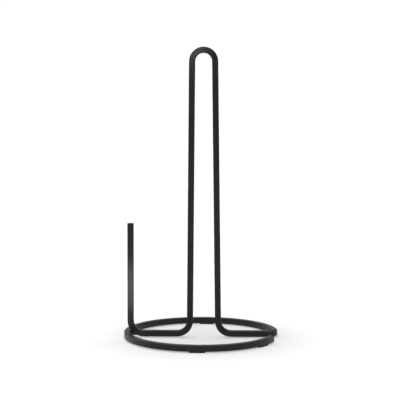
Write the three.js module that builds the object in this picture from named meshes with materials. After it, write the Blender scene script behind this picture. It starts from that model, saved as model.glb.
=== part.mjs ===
// Free-standing paper towel holder bent from square bar: an open base ring, a folded post that the
// roll slides over, and a short tear arm that stands beside the roll.
//
// Millimetres, +Z up. The origin is the base ring's centre, on the surface that the pads rest on.
// +X runs along the right arm, and -Y is the front.

import * as THREE from "three";

// Square bar, measured over its powder coat
const BAR = 6.5;
const BAR_EDGE_RADIUS = 0.8;
const EDGE_SEGMENTS = 1;

// Pads stuck under the ring
const PAD_LENGTH = 16;
const PAD_WIDTH = 5.8;
const PAD_THICKNESS = 0.8;
const PAD_CORNER_RADIUS = 1;
const ADHESIVE_THICKNESS = 0.2;
const PAD_ANGLES = { front: -91.5, right: -35.5, rear: 87, left: 172 };

// Everything below is on the bar's centre line. Angles are in degrees, anticlockwise from above.

// Base ring, which runs clockwise from its free end to the corner that turns into the right arm
const RING_RADIUS = 78.75;
const FREE_END_ANGLE = -19.9;
const CORNER_RADIUS = 7.5;

// Post
const HOLDER_HEIGHT = 308;
const POST_TOP_X = 2.6;
const POST_TOP_RADIUS = 12.1;
const RIGHT_FOOT_X = 18.1;
const LEFT_FOOT_X = -12;
const BEND_RADIUS = 13.6;

// Tear arm, which leans in a little towards the roll
const TEAR_ARM_FOOT_X = -75.3;
const TEAR_ARM_TOP_X = -74.9;
const TEAR_ARM_TOP_Z = 122.1;

// Butt welds in the two arms, dressed flush
const RIGHT_WELD_X = 40;
const LEFT_WELD_X = -45;
const WELD_WIDTH = 3;

// Tack weld in the corner between the tear arm's bend and the ring
const TACK_WIDTH = 5.5;
const TACK_HEIGHT = 4.6;
const TACK_GAP = 0.3;
const TACK_STEPS = 5;

// Turn of one straight facet, at most
const RING_FACET_DEGREES = 5;
const BEND_FACET_DEGREES = 11;

const FLOOR_GAP = PAD_THICKNESS + ADHESIVE_THICKNESS;
const BASE_Z = FLOOR_GAP + BAR / 2;
const UP = Math.PI / 2;

const STEEL = new THREE.MeshStandardMaterial({ color: 0x1d1d1e, roughness: 0.55, metalness: 0.15 });
const WELD = new THREE.MeshStandardMaterial({ color: 0x1a1a1b, roughness: 0.6, metalness: 0.15 });
const RUBBER = new THREE.MeshStandardMaterial({ color: 0x151515, roughness: 0.9, metalness: 0 });
const ADHESIVE = new THREE.MeshStandardMaterial({ color: 0x2b2b2a, roughness: 0.7, metalness: 0 });

// A station is a place along a flat route: the point, and the direction of travel there.

function station(point, direction) {
  return { point, direction: direction.clone().normalize() };
}

function polar(radius, angle) {
  return new THREE.Vector2(radius * Math.cos(angle), radius * Math.sin(angle));
}

function arcStations(centre, radius, startAngle, endAngle, facetDegrees) {
  const turn = endAngle - startAngle;
  const steps = Math.max(1, Math.ceil(Math.abs(turn) / THREE.MathUtils.degToRad(facetDegrees)));
  const stations = [];
  for (let i = 0; i <= steps; i++) {
    const spoke = polar(radius, startAngle + (turn * i) / steps);
    const direction = new THREE.Vector2(-spoke.y, spoke.x).multiplyScalar(Math.sign(turn));
    stations.push(station(spoke.add(centre), direction));
  }
  return stations;
}

// The bend that replaces a sharp corner between two straight stretches
function bendStations(before, corner, after, radius) {
  const back = before.clone().sub(corner).normalize();
  const onward = after.clone().sub(corner).normalize();
  const halfAngle = Math.acos(back.dot(onward)) / 2;
  const bisector = back.clone().add(onward).normalize();
  const centre = corner.clone().addScaledVector(bisector, radius / Math.sin(halfAngle));
  const touch = radius / Math.tan(halfAngle);
  const startAngle = corner.clone().addScaledVector(back, touch).sub(centre).angle();
  const endAngle = corner.clone().addScaledVector(onward, touch).sub(centre).angle();
  const turn = Math.atan2(Math.sin(endAngle - startAngle), Math.cos(endAngle - startAngle));
  return arcStations(centre, radius, startAngle, startAngle + turn, BEND_FACET_DEGREES);
}

// Stations where a bend runs straight into the next one are the same place, and one of them goes
function withoutRepeats(stations) {
  const apart = 1e-6;
  return stations.filter((s, i) => i === 0 || s.point.distanceTo(stations[i - 1].point) > apart);
}

// The bar's centre line: a flat route, stood in space by toSpace, sampled only at its own stations
class BarRoute extends THREE.Curve {
  constructor(stations, toSpace) {
    super();
    this.stations = withoutRepeats(stations);
    this.toSpace = toSpace;
  }

  get steps() {
    return this.stations.length - 1;
  }

  getPointAt(u, target = new THREE.Vector3()) {
    return this.toSpace(target, this.stations[Math.round(u * this.steps)].point);
  }

  getTangentAt(u, target = new THREE.Vector3()) {
    return this.toSpace(target, this.stations[Math.round(u * this.steps)].direction);
  }
}

const asPlan = (target, flat) => target.set(flat.x, flat.y, 0);
const asElevation = (target, flat) => target.set(flat.x, 0, flat.y);

function roundedRectangle(width, height, radius) {
  const x = width / 2 - radius;
  const y = height / 2 - radius;
  const shape = new THREE.Shape();
  shape.absarc(x, y, radius, 0, UP, false);
  shape.absarc(-x, y, radius, UP, 2 * UP, false);
  shape.absarc(-x, -y, radius, 2 * UP, 3 * UP, false);
  shape.absarc(x, -y, radius, 3 * UP, 4 * UP, false);
  shape.closePath();
  return shape;
}

function sweptBar(name, stations, toSpace, material = STEEL) {
  const route = new BarRoute(stations, toSpace);
  const geometry = new THREE.ExtrudeGeometry(roundedRectangle(BAR, BAR, BAR_EDGE_RADIUS), {
    steps: route.steps,
    extrudePath: route,
    curveSegments: EDGE_SEGMENTS,
  });
  const mesh = new THREE.Mesh(geometry, material);
  mesh.name = name;
  return mesh;
}

// Open ring from its free end round to the corner, then along the right arm to its weld
function ringBar() {
  const centre = new THREE.Vector2(0, 0);
  const cornerX = Math.sqrt((RING_RADIUS - CORNER_RADIUS) ** 2 - CORNER_RADIUS ** 2);
  const cornerCentre = new THREE.Vector2(cornerX, CORNER_RADIUS);
  const ringEnd = cornerCentre.angle();
  const freeEnd = THREE.MathUtils.degToRad(FREE_END_ANGLE);
  // A station at the foremost, leftmost, rearmost and rightmost points keeps the ring full size there
  const stops = [freeEnd, -UP, -2 * UP, -3 * UP, ringEnd - 4 * UP];
  const stations = [];
  for (let i = 1; i < stops.length; i++) {
    stations.push(...arcStations(centre, RING_RADIUS, stops[i - 1], stops[i], RING_FACET_DEGREES));
  }
  stations.push(...arcStations(cornerCentre, CORNER_RADIUS, ringEnd, 0, BEND_FACET_DEGREES));
  stations.push(...arcStations(cornerCentre, CORNER_RADIUS, 0, -UP, BEND_FACET_DEGREES));
  const armEnd = new THREE.Vector2(RIGHT_WELD_X + WELD_WIDTH / 2, 0);
  stations.push(station(armEnd, new THREE.Vector2(-1, 0)));
  const mesh = sweptBar("ring_bar", stations, asPlan);
  mesh.position.z = BASE_Z;
  return mesh;
}

// Where a straight line from a foot touches the round top. side is 1 for the right upright, -1 for
// the left one.
function touchPoint(foot, topCentre, side) {
  const toCentre = topCentre.clone().sub(foot);
  const lean = Math.asin(POST_TOP_RADIUS / toCentre.length());
  const reach = toCentre.length() * Math.cos(lean);
  return foot.clone().add(polar(reach, toCentre.angle() - side * lean));
}

// Inner right arm, right upright, round top, left upright, inner left arm
function postLoop() {
  const topCentre = new THREE.Vector2(POST_TOP_X, HOLDER_HEIGHT - BASE_Z - BAR / 2 - POST_TOP_RADIUS);
  const rightFoot = new THREE.Vector2(RIGHT_FOOT_X, 0);
  const leftFoot = new THREE.Vector2(LEFT_FOOT_X, 0);
  const rightTouch = touchPoint(rightFoot, topCentre, 1);
  const leftTouch = touchPoint(leftFoot, topCentre, -1);
  const rightAngle = rightTouch.clone().sub(topCentre).angle();
  const leftAngle = leftTouch.clone().sub(topCentre).angle();
  const start = new THREE.Vector2(RIGHT_WELD_X - WELD_WIDTH / 2, 0);
  const end = new THREE.Vector2(LEFT_WELD_X + WELD_WIDTH / 2, 0);
  const stations = [
    station(start, new THREE.Vector2(-1, 0)),
    ...bendStations(start, rightFoot, rightTouch, BEND_RADIUS),
    ...arcStations(topCentre, POST_TOP_RADIUS, rightAngle, UP, BEND_FACET_DEGREES),
    ...arcStations(topCentre, POST_TOP_RADIUS, UP, leftAngle, BEND_FACET_DEGREES),
    ...bendStations(leftTouch, leftFoot, end, BEND_RADIUS),
    station(end, new THREE.Vector2(-1, 0)),
  ];
  const mesh = sweptBar("post_loop", stations, asElevation);
  mesh.position.z = BASE_Z;
  return mesh;
}

// Outer left arm, bend, short upright with a plain cut end
function tearArm() {
  const start = new THREE.Vector2(LEFT_WELD_X - WELD_WIDTH / 2, 0);
  const foot = new THREE.Vector2(TEAR_ARM_FOOT_X, 0);
  const top = new THREE.Vector2(TEAR_ARM_TOP_X, TEAR_ARM_TOP_Z - BASE_Z);
  const stations = [
    station(start, new THREE.Vector2(-1, 0)),
    ...bendStations(start, foot, top, BEND_RADIUS),
    station(top, top.clone().sub(foot)),
  ];
  const mesh = sweptBar("tear_arm", stations, asElevation);
  mesh.position.z = BASE_Z;
  return mesh;
}

function buttWeld(name, x) {
  const along = new THREE.Vector2(-1, 0);
  const stations = [
    station(new THREE.Vector2(x + WELD_WIDTH / 2, 0), along),
    station(new THREE.Vector2(x - WELD_WIDTH / 2, 0), along),
  ];
  const mesh = sweptBar(name, stations, asElevation, WELD);
  mesh.position.z = BASE_Z;
  return mesh;
}

// Filler between the outside of the tear arm's bend and the inside of the ring. Its profile is in
// the XZ plane: straight down the ring's wall, and hollow along the bend.
function tackWeld() {
  const wallX = -(RING_RADIUS - BAR / 2) + TACK_GAP;
  const bendCentre = new THREE.Vector2(TEAR_ARM_FOOT_X + BEND_RADIUS, BASE_Z + BEND_RADIUS);
  const hollowRadius = BEND_RADIUS + BAR / 2 + TACK_GAP;
  const topAngle = Math.PI + Math.acos((bendCentre.x - wallX) / hollowRadius);
  const bottomZ = bendCentre.y + hollowRadius * Math.sin(topAngle) - TACK_HEIGHT;
  const bottomAngle = Math.PI + Math.asin((bendCentre.y - bottomZ) / hollowRadius);
  const shape = new THREE.Shape();
  shape.moveTo(wallX, bottomZ);
  for (let i = 0; i < TACK_STEPS; i++) {
    const angle = bottomAngle + ((topAngle - bottomAngle) * i) / TACK_STEPS;
    const point = polar(hollowRadius, angle).add(bendCentre);
    shape.lineTo(point.x, point.y);
  }
  shape.lineTo(wallX, bottomZ + TACK_HEIGHT);
  shape.closePath();
  const geometry = new THREE.ExtrudeGeometry(shape, { depth: TACK_WIDTH, bevelEnabled: false });
  const mesh = new THREE.Mesh(geometry, WELD);
  mesh.name = "tack_weld";
  mesh.rotation.x = UP;
  mesh.position.y = TACK_WIDTH / 2;
  return mesh;
}

// A flat strip under the ring, lying along it
function ringStrip(name, angleDegrees, bottomZ, thickness, material) {
  const shape = roundedRectangle(PAD_WIDTH, PAD_LENGTH, PAD_CORNER_RADIUS);
  const geometry = new THREE.ExtrudeGeometry(shape, {
    depth: thickness,
    bevelEnabled: false,
    curveSegments: EDGE_SEGMENTS,
  });
  const mesh = new THREE.Mesh(geometry, material);
  const angle = THREE.MathUtils.degToRad(angleDegrees);
  const place = polar(RING_RADIUS, angle);
  mesh.name = name;
  mesh.rotation.z = angle;
  mesh.position.set(place.x, place.y, bottomZ);
  return mesh;
}

const holder = new THREE.Group();
holder.add(
  ringBar(),
  postLoop(),
  tearArm(),
  buttWeld("butt_weld_right", RIGHT_WELD_X),
  buttWeld("butt_weld_left", LEFT_WELD_X),
  tackWeld(),
);
for (const [place, angle] of Object.entries(PAD_ANGLES)) {
  holder.add(ringStrip(`pad_${place}`, angle, 0, PAD_THICKNESS, RUBBER));
  holder.add(ringStrip(`adhesive_${place}`, angle, PAD_THICKNESS, ADHESIVE_THICKNESS, ADHESIVE));
}

export default holder;
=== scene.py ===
"""Paper towel holder: the looks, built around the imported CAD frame. Metres, +Z up, -Y is the front."""

import math

import bpy
import numpy as np
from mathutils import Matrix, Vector, noise


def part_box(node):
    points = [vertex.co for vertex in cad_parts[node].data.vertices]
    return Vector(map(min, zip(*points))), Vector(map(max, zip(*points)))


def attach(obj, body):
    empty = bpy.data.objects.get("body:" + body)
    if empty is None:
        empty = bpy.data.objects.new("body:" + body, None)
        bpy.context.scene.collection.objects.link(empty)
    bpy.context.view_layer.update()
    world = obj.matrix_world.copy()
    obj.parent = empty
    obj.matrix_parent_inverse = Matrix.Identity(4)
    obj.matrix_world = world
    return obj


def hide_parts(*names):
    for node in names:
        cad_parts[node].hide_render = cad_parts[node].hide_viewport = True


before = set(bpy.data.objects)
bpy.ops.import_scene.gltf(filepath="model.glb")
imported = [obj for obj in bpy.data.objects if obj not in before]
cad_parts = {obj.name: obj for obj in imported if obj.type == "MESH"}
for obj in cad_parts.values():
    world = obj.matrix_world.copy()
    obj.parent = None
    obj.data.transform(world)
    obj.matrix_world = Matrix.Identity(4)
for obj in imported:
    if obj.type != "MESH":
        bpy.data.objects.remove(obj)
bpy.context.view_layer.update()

# ---------------------------------------------------------------- sizes, in metres

MM = 0.001
QUARTER = math.pi / 2

# Read from the frame
RING_LOW, RING_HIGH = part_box("ring_bar")
_, POST_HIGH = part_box("post_loop")
_, TEAR_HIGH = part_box("tear_arm")
RIGHT_WELD_LOW, RIGHT_WELD_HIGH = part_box("butt_weld_right")
LEFT_WELD_LOW, LEFT_WELD_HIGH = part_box("butt_weld_left")
BAR = RING_HIGH.z - RING_LOW.z
HALF = BAR / 2
BASE_Z = RING_LOW.z + HALF
RING_RADIUS = (RING_HIGH.y - RING_LOW.y) / 2 - HALF
TOP_Z = POST_HIGH.z - HALF

# The bends and leans of the CAD model, on the bar's centre line
FREE_END_ANGLE = math.radians(-19.9)
CORNER_RADIUS = 7.5 * MM
POST_TOP_X = 2.6 * MM
POST_TOP_RADIUS = 12.1 * MM
RIGHT_FOOT_X = 18.1 * MM
LEFT_FOOT_X = -12.0 * MM
BEND_RADIUS = 13.6 * MM
TEAR_FOOT_X = -75.3 * MM
TEAR_TOP_X = -74.9 * MM

# The bar's section: its rounded long edges, and the places of the points along each flat
EDGE_RADIUS = 0.8 * MM
EDGE_STEPS = 4
FLAT_SHARES = (0.08, 0.28, 0.5, 0.72, 0.92)

# A cut end: its rounded rim, and the places of the rings between that rim and its middle
CUT_RADIUS = 0.4 * MM
CUT_STEPS = 5
CUT_FACE_SHARES = (0.12, 0.5, 0.8)
CUT_CLEARANCE = 1.5 * CUT_RADIUS

# A bend swells the bar's inner side and narrows its outer side, by KEYSTONE. It draws the middle
# of both those faces towards its own centre, by CROWN.
KEYSTONE = 0.5
KEYSTONE_LIMIT = 0.3
CROWN = 0.45 * MM
BEND_BLUR = 2.0 * MM

# The coated bar's size varies by the share UNEVEN, over UNEVEN_SCALE waves per metre. The two
# offsets let it vary separately in the section's two directions.
UNEVEN = 0.006
UNEVEN_SCALE = 45
UNEVEN_ACROSS = Vector((3, 1, 7))
UNEVEN_OUT = Vector((9, 4, 2))

# Stations along the bar. An arc has a step for each ARC_STEP of its length or, where that is
# more and up to SMALL_ARC_STEPS, for each ARC_TURN of its turn.
STRAIGHT_STEP = 2.5 * MM
ARC_STEP = 1.5 * MM
ARC_TURN = math.radians(3)
SMALL_ARC_STEPS = 24
SAME_POINT = 1e-7
BUTT_WELD_STEPS = 8

# Weld bead. Its depth falls to BEAD_END_SHARE at its ends, more squarely the higher the power.
BEAD_STATIONS = 36
BEAD_ACROSS = 12
BEAD_SINK = 0.5 * MM
BEAD_RIPPLES = 5
BEAD_RIPPLE_DEPTH = 0.22 * MM
BEAD_SAG = 0.35 * MM
BEAD_END_SHARE = 0.08
BEAD_END_POWER = 4

# Pads and their films: angles in degrees, and (height share, inset) pairs from bottom to top
PAD_PLACES = {"front": -91.5, "right": -35.5, "rear": 87, "left": 172}
PAD_LENGTH = 16 * MM
PAD_WIDTH = 5.8 * MM
PAD_CORNER = 1.0 * MM
PAD_LEAST_CORNER = PAD_CORNER / 3
PAD_CORNER_STEPS = 6
PAD_LONG_STEPS = 12
PAD_SHORT_STEPS = 5
PAD_PROFILE = [
    (0.0, 0.22 * MM),
    (0.06, 0.1 * MM),
    (0.2, 0.02 * MM),
    (0.45, 0.0),
    (0.7, 0.02 * MM),
    (0.9, 0.06 * MM),
    (1.0, 0.14 * MM),
]
FILM_PROFILE = [(0.0, 0.1 * MM), (0.5, 0.16 * MM), (1.0, 0.12 * MM)]
FILM_RAGGED = 0.03
RAGGED_SCALE = 900


# ---------------------------------------------------------------- meshes

def new_piece(name, vertices, faces, material, slot, *nodes, edge=None):
    """A smooth-shaded mesh object that stands for CAD nodes and rides on the root body. edge holds
    a number for each vertex, up to 1 amid the rounded edges, which get a painted highlight."""
    mesh = bpy.data.meshes.new(name)
    mesh.from_pydata([tuple(v) for v in vertices], [], faces)
    mesh.validate()
    mesh.shade_smooth()
    mesh.materials.append(material)
    if edge is not None:
        attribute = mesh.attributes.new("edge", "FLOAT", "POINT")
        attribute.data.foreach_set("value", np.asarray(edge, np.float32))
    piece = bpy.data.objects.new(name, mesh)
    bpy.context.scene.collection.objects.link(piece)
    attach(piece, "root")
    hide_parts(*nodes)
    return piece


def stack(rings, clockwise=False):
    """Vertices and faces of a solid stack of rings, capped at both ends. Seen from beyond the last
    ring, the rings run anticlockwise unless clockwise is true."""
    count = len(rings[0])
    vertices = [point for ring in rings for point in ring]
    last = len(vertices) - count
    faces = []
    for start in range(0, last, count):
        for j in range(count):
            a = start + j
            b = start + (j + 1) % count
            faces.append((a, a + count, b + count, b) if clockwise else (a, b, b + count, a + count))
    first_cap = tuple(range(count))
    last_cap = tuple(range(last, len(vertices)))
    faces.extend((first_cap, last_cap[::-1]) if clockwise else (first_cap[::-1], last_cap))
    return vertices, faces


def unit(angle):
    return Vector((math.cos(angle), math.sin(angle)))


def heading(vector):
    return math.atan2(vector.y, vector.x)


# ---------------------------------------------------------------- routes
# A route is flat: a list of (point, direction, curvature), with curvature positive where it turns
# left. The section's first coordinate points left of the route, its second out of the plane.

def line(start, end):
    direction = (end - start).normalized()
    steps = max(1, math.ceil((end - start).length / STRAIGHT_STEP))
    return [(start.lerp(end, i / steps), direction, 0.0) for i in range(steps + 1)]


def arc(centre, radius, start, end):
    turn = end - start
    by_length = abs(turn) * radius / ARC_STEP
    by_turn = min(abs(turn) / ARC_TURN, SMALL_ARC_STEPS)
    steps = max(2, math.ceil(max(by_length, by_turn)))
    side = math.copysign(1, turn)
    stations = []
    for i in range(steps + 1):
        spoke = unit(start + turn * i / steps)
        direction = Vector((-spoke.y, spoke.x)) * side
        stations.append((centre + spoke * radius, direction, side / radius))
    return stations


def bend(before, corner, after, radius):
    """The arc that replaces a sharp corner between two straight stretches."""
    back = (before - corner).normalized()
    onward = (after - corner).normalized()
    half_angle = back.angle(onward) / 2
    centre = corner + (back + onward).normalized() * radius / math.sin(half_angle)
    reach = radius / math.tan(half_angle)
    start = heading(corner + back * reach - centre)
    turn = (heading(corner + onward * reach - centre) - start + math.pi) % (2 * math.pi) - math.pi
    return arc(centre, radius, start, start + turn)


def joined(*stretches):
    """One route through several stretches. Gaps between them are straight, repeats are dropped."""
    stations = []
    for stretch in stretches:
        if stations and (stretch[0][0] - stations[-1][0]).length > STRAIGHT_STEP:
            stations.extend(line(stations[-1][0], stretch[0][0])[1:-1])
        for item in stretch:
            if not stations or (item[0] - stations[-1][0]).length > SAME_POINT:
                stations.append(item)
    return stations


def plan(flat):
    """Lays a point of a flat route in the ring's plane."""
    return Vector((flat.x, flat.y, BASE_Z))


def elevation(flat):
    """Stands a point of a flat route up in the XZ plane, where the arms and the post are."""
    return Vector((flat.x, 0, flat.y + BASE_Z))


# ---------------------------------------------------------------- the bar

def square_section():
    """Rounded square as (left, out, edge) triples, anticlockwise. edge is 1 amid each rounding."""
    flat = HALF - EDGE_RADIUS
    points = []
    for quarter in range(4):
        turn = quarter * QUARTER
        centre = unit(turn + QUARTER / 2) * flat * math.sqrt(2)
        for i in range(EDGE_STEPS + 1):
            spoke = unit(turn + QUARTER * i / EDGE_STEPS) * EDGE_RADIUS
            points.append((*(centre + spoke), math.sin(math.pi * i / EDGE_STEPS)))
        outward = unit(turn + QUARTER)
        along = Vector((-outward.y, outward.x))
        start = centre + outward * EDGE_RADIUS
        for share in FLAT_SHARES:
            points.append((*(start + along * share * 2 * flat), 0.0))
    return np.array(points)


SECTION = square_section()


def rounded_cut():
    """(slide, shrink, edge) of each ring of a cut end, from the long faces in to the middle."""
    rings = []
    for i in range(CUT_STEPS + 1):
        turn = QUARTER * i / CUT_STEPS
        slide = CUT_RADIUS * (math.sin(turn) - 1)
        shrink = CUT_RADIUS * (1 - math.cos(turn))
        rings.append((slide, shrink, math.sin(math.pi * i / CUT_STEPS)))
    for share in CUT_FACE_SHARES:
        rings.append((0.0, CUT_RADIUS + (HALF - CUT_RADIUS) * share, 0.0))
    return rings


def blurred_curvature(stations):
    """Curvature at each station, blurred because the bar's section changes gradually into a bend,
    and the distance travelled there."""
    points = np.array([tuple(s[0]) for s in stations])
    travelled = np.concatenate([[0], np.cumsum(np.linalg.norm(np.diff(points, axis=0), axis=1))])
    curvature = np.array([s[2] for s in stations])
    share = np.gradient(travelled)
    weights = np.exp(-0.5 * ((travelled[:, None] - travelled[None, :]) / BEND_BLUR) ** 2) * share
    return (weights * curvature).sum(1) / weights.sum(1), travelled


def uneven(place, offset):
    """A factor just under 1 that varies slowly along the bar."""
    return 1 - UNEVEN * (0.5 + 0.5 * noise.noise(place * UNEVEN_SCALE + offset))


def section_ring(station, curvature, to_space, slide, shrink):
    """The bar's section at a station, moved by slide along the route and drawn in by shrink."""
    point, direction, _ = station
    left = SECTION[:, 0] * (1 - shrink / HALF)
    out = SECTION[:, 1] * (1 - shrink / HALF)
    strain = np.clip(curvature * left, -KEYSTONE_LIMIT, KEYSTONE_LIMIT)
    bulge = CROWN * max(-KEYSTONE_LIMIT, min(KEYSTONE_LIMIT, curvature * HALF))
    place = to_space(point + direction * slide)
    across = (left + bulge * (1 - (out / HALF) ** 2)) * uneven(place, UNEVEN_ACROSS)
    wide = out * (1 + KEYSTONE * strain) * uneven(place, UNEVEN_OUT)
    origin = to_space(Vector((0, 0)))
    left_3d = to_space(Vector((-direction.y, direction.x))) - origin
    out_3d = (to_space(direction) - origin).cross(left_3d)
    return [place + left_3d * float(x) + out_3d * float(y) for x, y in zip(across, wide)]


def sharpen_caps(mesh, count):
    """Marks the rims of both end caps sharp, so that a bar is shaded straight up to its weld."""
    last = len(mesh.vertices) - count
    for edge in mesh.edges:
        edge.use_edge_sharp = max(edge.vertices) < count or min(edge.vertices) >= last


def bar_piece(name, stations, to_space, node, cut_start=False, cut_end=False):
    """Sweeps the square section along a route. Cut ends are rounded; the others meet a weld flat."""
    curvature, travelled = blurred_curvature(stations)
    last = len(stations) - 1
    clear_from = CUT_CLEARANCE if cut_start else 0
    clear_to = travelled[last] - (CUT_CLEARANCE if cut_end else 0)
    rings = []
    edges = []

    def add_ring(index, slide=0.0, shrink=0.0, edge=0.0):
        rings.append(section_ring(stations[index], curvature[index], to_space, slide, shrink))
        edges.append(np.maximum(SECTION[:, 2], edge))

    if cut_start:
        for slide, shrink, edge in reversed(rounded_cut()):
            add_ring(0, -slide, shrink, edge)
    else:
        add_ring(0)
    for i in range(1, last):
        if clear_from <= travelled[i] <= clear_to:
            add_ring(i)
    if cut_end:
        for slide, shrink, edge in rounded_cut():
            add_ring(last, slide, shrink, edge)
    else:
        add_ring(last)

    vertices, faces = stack(rings)
    edge = np.concatenate(edges)
    piece = new_piece(name, vertices, faces, COAT, "black_powder_coat", node, edge=edge)
    sharpen_caps(piece.data, len(SECTION))


# ---------------------------------------------------------------- materials

def principled(name):
    """A new material, its nodes, its links and its shader."""
    material = bpy.data.materials.new(name)
    material.use_nodes = True
    nodes = material.node_tree.nodes
    return material, nodes, material.node_tree.links, nodes["Principled BSDF"]


def feed(links, socket, value):
    """Links another node's output to a socket, or sets the socket to a plain value."""
    if isinstance(value, bpy.types.NodeSocket):
        links.new(value, socket)
    else:
        socket.default_value = value


def noise_node(nodes, links, coordinates, scale, detail, roughness=0.5):
    """Noise of so many waves per metre."""
    texture = nodes.new("ShaderNodeTexNoise")
    texture.inputs["Scale"].default_value = scale
    texture.inputs["Detail"].default_value = detail
    texture.inputs["Roughness"].default_value = roughness
    links.new(coordinates.outputs["Object"], texture.inputs["Vector"])
    return texture.outputs["Fac"]


def ramp_node(nodes, links, source, low, high, low_at=0.3, high_at=0.7, interpolation="LINEAR"):
    """Runs from low to high between low_at and high_at, where most of a noise's values are."""
    ramp = nodes.new("ShaderNodeMapRange")
    ramp.interpolation_type = interpolation
    ramp.inputs["From Min"].default_value = low_at
    ramp.inputs["From Max"].default_value = high_at
    ramp.inputs["To Min"].default_value = low
    ramp.inputs["To Max"].default_value = high
    links.new(source, ramp.inputs["Value"])
    return ramp.outputs["Result"]


def math_node(nodes, links, operation, *values):
    """A math node. Each value is another node's output or a plain number."""
    node = nodes.new("ShaderNodeMath")
    node.operation = operation
    for socket, value in zip(node.inputs, values):
        feed(links, socket, value)
    return node.outputs["Value"]


def mix_node(nodes, links, factor, dark, pale):
    """A mix of two colours. Each is another node's output or a plain colour."""
    mix = nodes.new("ShaderNodeMix")
    mix.data_type = "RGBA"
    links.new(factor, mix.inputs["Factor"])
    feed(links, mix.inputs["A"], dark)
    feed(links, mix.inputs["B"], pale)
    return mix.outputs["Result"]


def bump_node(nodes, links, height, strength, distance, under=None):
    """A bumped normal, on top of the one that is given as under."""
    bump = nodes.new("ShaderNodeBump")
    bump.inputs["Strength"].default_value = strength
    bump.inputs["Distance"].default_value = distance
    links.new(height, bump.inputs["Height"])
    if under is not None:
        links.new(under, bump.inputs["Normal"])
    return bump.outputs["Normal"]


def powder_coat():
    """Matte black powder coat: fine grain over a soft orange peel, with a painted highlight on the
    edges.
    """
    material, nodes, links, shader = principled("black_powder_coat")
    coordinates = nodes.new("ShaderNodeTexCoord")
    cloud = noise_node(nodes, links, coordinates, scale=55, detail=3.0)
    peel = noise_node(nodes, links, coordinates, scale=900, detail=2.0)
    grain = noise_node(nodes, links, coordinates, scale=4200, detail=3.0, roughness=0.6)
    edge = nodes.new("ShaderNodeAttribute")
    edge.attribute_name = "edge"

    dark = (0.0075, 0.0075, 0.0078, 1)
    pale = (0.0115, 0.0115, 0.0118, 1)
    # Painted highlight: the rounded edges are paler where the peel noise is high, standing in for their
    # glint.
    painted_edge_highlight = (0.014, 0.014, 0.0145, 1)
    clouded = mix_node(nodes, links, cloud, dark, pale)
    edge_highlight_mask = math_node(nodes, links, "MULTIPLY", edge.outputs["Fac"], peel)
    colour = mix_node(nodes, links, edge_highlight_mask, clouded, painted_edge_highlight)
    links.new(colour, shader.inputs["Base Color"])
    links.new(ramp_node(nodes, links, cloud, low=0.37, high=0.43), shader.inputs["Roughness"])
    shader.inputs["Specular IOR Level"].default_value = 0.32

    fine = bump_node(nodes, links, grain, strength=0.35, distance=0.02 * MM)
    soft = bump_node(nodes, links, peel, strength=0.5, distance=0.03 * MM, under=fine)
    links.new(soft, shader.inputs["Normal"])
    return material


def rubber():
    """Dull black rubber with a fine grain."""
    material, nodes, links, shader = principled("black_rubber")
    coordinates = nodes.new("ShaderNodeTexCoord")
    grain = noise_node(nodes, links, coordinates, scale=2600, detail=5.0, roughness=0.65)
    dark = (0.010, 0.010, 0.010, 1)
    pale = (0.020, 0.020, 0.020, 1)
    links.new(mix_node(nodes, links, grain, dark, pale), shader.inputs["Base Color"])
    links.new(ramp_node(nodes, links, grain, low=0.78, high=0.92), shader.inputs["Roughness"])
    shader.inputs["Specular IOR Level"].default_value = 0.32
    bump = bump_node(nodes, links, grain, strength=0.6, distance=0.05 * MM)
    links.new(bump, shader.inputs["Normal"])
    return material


def adhesive_film():
    """Dark grey film, glossier than the rubber and faintly clouded."""
    material, nodes, links, shader = principled("adhesive_film")
    coordinates = nodes.new("ShaderNodeTexCoord")
    cloud = noise_node(nodes, links, coordinates, scale=1200, detail=4.0)
    dark = (0.040, 0.040, 0.038, 1)
    pale = (0.065, 0.065, 0.060, 1)
    links.new(mix_node(nodes, links, cloud, dark, pale), shader.inputs["Base Color"])
    links.new(ramp_node(nodes, links, cloud, low=0.45, high=0.65), shader.inputs["Roughness"])
    return material


COAT = powder_coat()
RUBBER = rubber()
FILM = adhesive_film()


# ---------------------------------------------------------------- bars
# Along the arms, every route heads this way.

LEFTWARD = Vector((-1, 0))


def base_ring():
    """Open ring from its free end round to the tight corner, then along the right arm."""
    corner_x = math.sqrt((RING_RADIUS - CORNER_RADIUS) ** 2 - CORNER_RADIUS ** 2)
    corner = Vector((corner_x, CORNER_RADIUS))
    ring_end = heading(corner)
    route = joined(
        arc(Vector((0, 0)), RING_RADIUS, FREE_END_ANGLE, ring_end - 2 * math.pi),
        arc(corner, CORNER_RADIUS, ring_end, -QUARTER),
        [(Vector((RIGHT_WELD_HIGH.x, 0)), LEFTWARD, 0.0)],
    )
    bar_piece("base_ring", route, plan, "ring_bar", cut_start=True)


def touch_point(foot, centre, radius, side):
    """Where a straight line from a foot touches the round top; side is 1 for the right upright."""
    to_centre = centre - foot
    lean = math.asin(radius / to_centre.length)
    return foot + unit(heading(to_centre) - side * lean) * to_centre.length * math.cos(lean)


def post():
    """Inner right arm, right upright, round top, left upright, inner left arm."""
    centre = Vector((POST_TOP_X, TOP_Z - BASE_Z - POST_TOP_RADIUS))
    right_foot = Vector((RIGHT_FOOT_X, 0))
    left_foot = Vector((LEFT_FOOT_X, 0))
    right_touch = touch_point(right_foot, centre, POST_TOP_RADIUS, 1)
    left_touch = touch_point(left_foot, centre, POST_TOP_RADIUS, -1)
    start = Vector((RIGHT_WELD_LOW.x, 0))
    end = Vector((LEFT_WELD_HIGH.x, 0))
    route = joined(
        [(start, LEFTWARD, 0.0)],
        bend(start, right_foot, right_touch, BEND_RADIUS),
        arc(centre, POST_TOP_RADIUS, heading(right_touch - centre), heading(left_touch - centre)),
        bend(left_touch, left_foot, end, BEND_RADIUS),
        [(end, LEFTWARD, 0.0)],
    )
    bar_piece("post", route, elevation, "post_loop")


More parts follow.
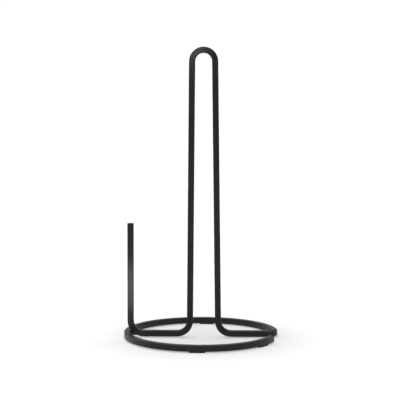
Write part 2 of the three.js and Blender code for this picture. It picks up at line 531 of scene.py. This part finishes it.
def tear_arm():
    """Outer left arm, bend and short upright, with a plain cut top."""
    start = Vector((LEFT_WELD_LOW.x, 0))
    foot = Vector((TEAR_FOOT_X, 0))
    top = Vector((TEAR_TOP_X, TEAR_HIGH.z - BASE_Z))
    route = joined(
        [(start, LEFTWARD, 0.0)],
        bend(start, foot, top, BEND_RADIUS),
        [(top, (top - foot).normalized(), 0.0)],
    )
    bar_piece("tear_arm_bar", route, elevation, "tear_arm", cut_end=True)


def butt_weld(name, node):
    """The dressed weld between two bars: the bar's own section, filed a little uneven."""
    low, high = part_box(node)
    start = Vector((high.x, 0))
    end = Vector((low.x, 0))
    shares = [i / BUTT_WELD_STEPS for i in range(BUTT_WELD_STEPS + 1)]
    route = [(start.lerp(end, share), LEFTWARD, 0.0) for share in shares]
    bar_piece(name, route, elevation, node)


# ---------------------------------------------------------------- weld bead

def weld_bead():
    """Tack weld in the corner between the tear arm's bend and the ring's inner wall.
    Its profile is in XZ, its length in Y, and its lower face is rippled."""
    low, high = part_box("tack_weld")
    radius = BEND_RADIUS + HALF

    def bend_face_x(z):
        drop = BASE_Z + BEND_RADIUS - z
        return TEAR_FOOT_X + BEND_RADIUS - math.sqrt(radius ** 2 - drop ** 2)

    left = HALF - RING_RADIUS - BEAD_SINK
    rings = []
    for i in range(BEAD_STATIONS + 1):
        share = 0.5 - 0.5 * math.cos(math.pi * i / BEAD_STATIONS)
        y = low.y + (high.y - low.y) * share
        rounding = math.sqrt(max(0.0, 1 - (2 * share - 1) ** BEAD_END_POWER))
        depth = (high.z - low.z) * (BEAD_END_SHARE + (1 - BEAD_END_SHARE) * rounding)
        ripple = BEAD_RIPPLE_DEPTH * rounding * abs(math.sin(math.pi * share * BEAD_RIPPLES))
        bottom = high.z - depth - ripple
        right = bend_face_x(bottom) + BEAD_SINK
        ring = []
        for j in range(BEAD_ACROSS + 1):
            across = j / BEAD_ACROSS
            sag = BEAD_SAG * rounding * math.sin(math.pi * across)
            ring.append(Vector((left + (right - left) * across, y, bottom - sag)))
        ring.append(Vector((bend_face_x(high.z) + BEAD_SINK, y, high.z)))
        ring.append(Vector((left, y, high.z)))
        rings.append(ring)
    vertices, faces = stack(rings, clockwise=True)
    new_piece("tack_weld_bead", vertices, faces, COAT, "black_powder_coat", "tack_weld")


# ---------------------------------------------------------------- pads

def strip_outline(inset):
    """A pad's rounded rectangle, drawn in by inset, anticlockwise, with its long side along Y."""
    corner = max(PAD_CORNER - inset, PAD_LEAST_CORNER)
    x = PAD_WIDTH / 2 - inset - corner
    y = PAD_LENGTH / 2 - inset - corner
    centres = [Vector((x, y)), Vector((-x, y)), Vector((-x, -y)), Vector((x, -y))]
    points = []
    for quarter, centre in enumerate(centres):
        turn = quarter * QUARTER
        for i in range(PAD_CORNER_STEPS + 1):
            points.append(centre + unit(turn + QUARTER * i / PAD_CORNER_STEPS) * corner)
        start = points[-1]
        end = centres[(quarter + 1) % 4] + unit(turn + QUARTER) * corner
        steps = PAD_LONG_STEPS if quarter % 2 else PAD_SHORT_STEPS
        points.extend(start.lerp(end, i / steps) for i in range(1, steps))
    return points


def strip_piece(name, node, angle, profile, ragged, material, slot):
    """A flat strip that follows the ring's underside. Its outline strays by the share ragged across
    the ring, and by a third of that along it."""
    low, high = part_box(node)
    rings = []
    for share, inset in profile:
        z = low.z + (high.z - low.z) * share
        ring = []
        for point in strip_outline(inset):
            jitter = ragged * noise.noise(Vector((point.x, point.y, angle)) * RAGGED_SCALE)
            radius = RING_RADIUS + point.x * (1 - jitter)
            turn = angle + point.y * (1 - jitter / 3) / RING_RADIUS
            ring.append(Vector((radius * math.cos(turn), radius * math.sin(turn), z)))
        rings.append(ring)
    vertices, faces = stack(rings)
    new_piece(name, vertices, faces, material, slot, node)


def pad(place, angle):
    node = f"pad_{place}"
    strip_piece(f"rubber_pad_{place}", node, angle, PAD_PROFILE, 0.0, RUBBER, "black_rubber")


def film(place, angle):
    node = f"adhesive_{place}"
    name = f"adhesive_film_{place}"
    strip_piece(name, node, angle, FILM_PROFILE, FILM_RAGGED, FILM, "adhesive_film")


# ---------------------------------------------------------------- stage

# Soft lights in the sky: azimuth and elevation in degrees (azimuth 0 is +X, -90 is the viewer's
# side), tightness, brightness
SOFT_LIGHTS = [
    (0, 90, 9, 4.5),
    (135, 38, 20, 3.1),
    (90, 12, 40, 0.7),
    (45, 8, 9, 0.3),
    (250, 40, 20, 1.2),
]

# The sky's light between them, and its brightness behind the holder, for the camera only
AMBIENT = 0.02
BACKDROP = 1.02

# Small reflector cards in front of the holder, facing it: centre, then width and height, in mm,
# and brightness
CARDS = {
    "tear_arm_card": ((-78, -34, 51), (30, 46), 2.9),
    "post_top_card": ((-25, -80, 328), (50, 44), 3.9),
}

# The floor glows in part, as a light table does. Its middle is darker, a painted shade round the
# holder, at PAINTED_SHADE_SHARE of the rest, and it pales between INNER_REACH and OUTER_REACH from the
# middle.
FLOOR_HALF = 30
FLOOR_COLOUR = 0.455
FLOOR_GLOW = 0.50
PAINTED_SHADE_SHARE = 0.8
INNER_REACH = 0.05
OUTER_REACH = 0.15

# The camera stands in front, looks slightly down, and is swung and moved a little sideways
LENS = 105.48
CAMERA_TURN = math.radians(1.568)
CAMERA_TILT = math.radians(4.515)
CAMERA_ASIDE = -1.22 * MM
CAMERA_AWAY = 1235.72 * MM
CAMERA_HEIGHT = RING_LOW.z + 243.52 * MM


def floor():
    mesh = bpy.data.meshes.new("floor")
    half = FLOOR_HALF
    corners = [(-half, -half, 0), (half, -half, 0), (half, half, 0), (-half, half, 0)]
    mesh.from_pydata(corners, [], [(0, 1, 2, 3)])
    plane = bpy.data.objects.new("floor", mesh)
    bpy.context.scene.collection.objects.link(plane)
    material, nodes, links, shader = principled("floor_white")
    coordinates = nodes.new("ShaderNodeTexCoord")
    distance = nodes.new("ShaderNodeVectorMath")
    distance.operation = "LENGTH"
    links.new(coordinates.outputs["Object"], distance.inputs[0])
    reach = distance.outputs["Value"]
    # Both the colour and the glow are darker towards the middle: a painted shade round the holder.
    for socket, outer in (("Base Color", FLOOR_COLOUR), ("Emission Color", FLOOR_GLOW)):
        painted_shade = outer * PAINTED_SHADE_SHARE
        shaded_tone = ramp_node(nodes, links, reach, painted_shade, outer, INNER_REACH, OUTER_REACH, "SMOOTHSTEP")
        links.new(shaded_tone, shader.inputs[socket])
    shader.inputs["Emission Strength"].default_value = 1
    shader.inputs["Roughness"].default_value = 0.9
    shader.inputs["Specular IOR Level"].default_value = 0.1
    mesh.materials.append(material)


def studio_world():
    """Large soft lights all round, as smooth glows in the sky, and white behind everything."""
    world = bpy.data.worlds.new("studio")
    bpy.context.scene.world = world
    world.use_nodes = True
    nodes = world.node_tree.nodes
    links = world.node_tree.links
    background = nodes["Background"]
    coordinates = nodes.new("ShaderNodeTexCoord")
    total = AMBIENT
    for azimuth, height, tightness, brightness in SOFT_LIGHTS:
        turn = math.radians(azimuth)
        rise = math.radians(height)
        axis = (math.cos(turn) * math.cos(rise), math.sin(turn) * math.cos(rise), math.sin(rise))
        facing = nodes.new("ShaderNodeVectorMath")
        facing.operation = "DOT_PRODUCT"
        facing.inputs[1].default_value = axis
        links.new(coordinates.outputs["Generated"], facing.inputs[0])
        cosine = facing.outputs["Value"]
        falloff = math_node(nodes, links, "MULTIPLY_ADD", cosine, tightness, -tightness)
        glow = math_node(nodes, links, "EXPONENT", falloff)
        total = math_node(nodes, links, "MULTIPLY_ADD", glow, brightness, total)
    seen = nodes.new("ShaderNodeLightPath")
    strength = nodes.new("ShaderNodeMix")
    strength.data_type = "FLOAT"
    strength.inputs["B"].default_value = BACKDROP
    links.new(seen.outputs["Is Camera Ray"], strength.inputs["Factor"])
    links.new(total, strength.inputs["A"])
    links.new(strength.outputs["Result"], background.inputs["Strength"])
    background.inputs["Color"].default_value = (1, 1, 1, 1)


def card(name, centre, size, brightness):
    """A glowing rectangle, in mm, that faces +Y and that the camera doesn't see."""
    data = bpy.data.lights.new(name, "AREA")
    data.shape = "RECTANGLE"
    data.size = size[0] * MM
    data.size_y = size[1] * MM
    data.energy = brightness * math.pi * data.size * data.size_y
    lamp = bpy.data.objects.new(name, data)
    lamp.location = [value * MM for value in centre]
    lamp.rotation_euler = (QUARTER, 0, 0)
    lamp.visible_camera = False
    bpy.context.scene.collection.objects.link(lamp)


def camera():
    data = bpy.data.cameras.new("camera")
    data.sensor_width = 36
    data.lens = LENS
    data.clip_start = 0.05
    data.clip_end = 100
    lens = bpy.data.objects.new("camera", data)
    lens.location = (
        CAMERA_ASIDE * math.cos(CAMERA_TURN) + CAMERA_AWAY * math.sin(CAMERA_TURN),
        CAMERA_ASIDE * math.sin(CAMERA_TURN) - CAMERA_AWAY * math.cos(CAMERA_TURN),
        CAMERA_HEIGHT,
    )
    lens.rotation_euler = (QUARTER - CAMERA_TILT, 0, CAMERA_TURN)
    bpy.context.scene.collection.objects.link(lens)
    bpy.context.scene.camera = lens


def look():
    settings = bpy.context.scene.view_settings
    settings.view_transform = "Standard"
    settings.look = "None"
    settings.exposure = 0
    settings.gamma = 1


camera()
look()
floor()
studio_world()
for name, (centre, size, brightness) in CARDS.items():
    card(name, centre, size, brightness)

base_ring()
post()
tear_arm()
butt_weld("right_arm_weld", "butt_weld_right")
butt_weld("left_arm_weld", "butt_weld_left")
weld_bead()
for place, degrees in PAD_PLACES.items():
    pad(place, math.radians(degrees))
    film(place, math.radians(degrees))
